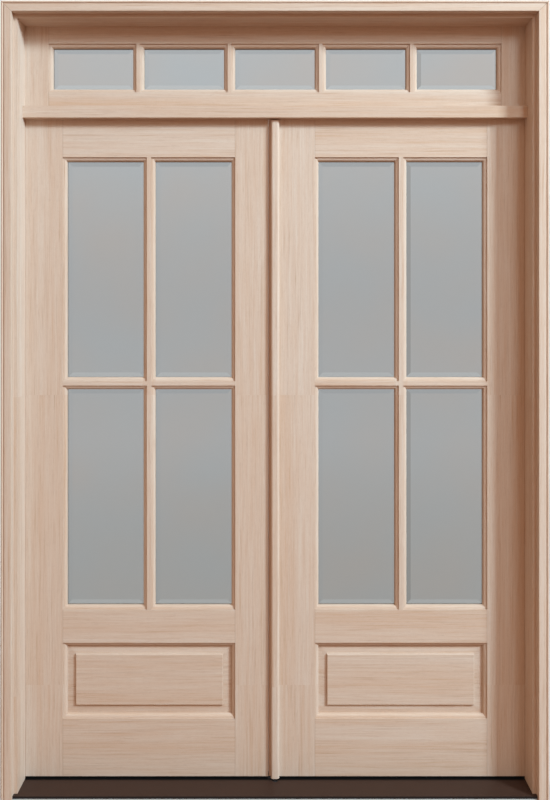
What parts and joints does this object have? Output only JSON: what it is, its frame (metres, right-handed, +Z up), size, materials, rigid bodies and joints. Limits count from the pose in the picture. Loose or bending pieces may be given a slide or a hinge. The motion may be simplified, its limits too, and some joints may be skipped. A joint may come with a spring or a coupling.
{
  "type": "double entrance door",
  "caption": "Wooden double entrance door: in-swinging leaves with bevelled panes over raised panels, fixed transom light, casing, jambs and sloping metal sill.",
  "frame": {"origin": "on the underside of the sill, midway between the jambs, level with the jambs' front edges", "axes": "+Z up, -Y to the street side, +Y into the building, +X to the right as seen from the street"},
  "size_m": [1.9104, 0.174, 2.7863],
  "materials": {
    "leaf_wood": "bare sanded wood, straight grain",
    "frame_wood": "bare sanded wood, straight grain",
    "casing_wood": "bare sanded wood, straight grain",
    "sill_core": "sealed board",
    "sill_metal": "bronze anodised",
    "glass": "clear, bevelled",
    "hinge_metal": "satin nickel",
    "bolt_metal": "satin",
    "seal_rubber": "matt black"
  },
  "bodies": {
    "frame": {"left_jamb": "frame_wood", "right_jamb": "frame_wood", "head_jamb": "frame_wood", "transom_bar": "frame_wood", "sill_substrate": "sill_core", "sill_deck": "sill_metal", "left_brickmould": "casing_wood", "right_brickmould": "casing_wood", "head_brickmould": "casing_wood", "jamb_weatherstrip": "seal_rubber", "left_jamb_hinges": "hinge_metal", "right_jamb_hinges": "hinge_metal", "transom_left_stile": "leaf_wood", "transom_right_stile": "leaf_wood", "transom_bottom_rail": "leaf_wood", "transom_top_rail": "leaf_wood", "transom_glazing_bars": "leaf_wood", "transom_panes": "glass", "transom_glass_stops": "leaf_wood", "transom_inside_beads": "leaf_wood"},
    "left_leaf": {"left_lock_stile": "leaf_wood", "left_hinge_stile": "leaf_wood", "left_bottom_rail": "leaf_wood", "left_lock_rail": "leaf_wood", "left_top_rail": "leaf_wood", "left_glazing_bars": "leaf_wood", "left_raised_panel": "leaf_wood", "left_panes": "glass", "left_glass_stops": "leaf_wood", "left_leaf_hinges": "hinge_metal", "left_sweep": "seal_rubber"},
    "right_leaf": {"right_lock_stile": "leaf_wood", "right_hinge_stile": "leaf_wood", "right_bottom_rail": "leaf_wood", "right_lock_rail": "leaf_wood", "right_top_rail": "leaf_wood", "right_glazing_bars": "leaf_wood", "right_raised_panel": "leaf_wood", "right_panes": "glass", "right_glass_stops": "leaf_wood", "right_leaf_hinges": "hinge_metal", "right_sweep": "seal_rubber", "astragal": "leaf_wood", "astragal_seal": "seal_rubber", "astragal_bolt": "bolt_metal"}
  },
  "joints": [
    {"name": "left_leaf_swing", "type": "hinge", "parent": "frame", "child": "left_leaf", "pos_m": [-0.9159, 0.14, 1.2], "axis": [0, 0, 1], "range_deg": [0, 110]},
    {"name": "right_leaf_swing", "type": "hinge", "parent": "frame", "child": "right_leaf", "pos_m": [0.9159, 0.14, 1.2], "axis": [0, 0, -1], "range_deg": [0, 110]}
  ]
}
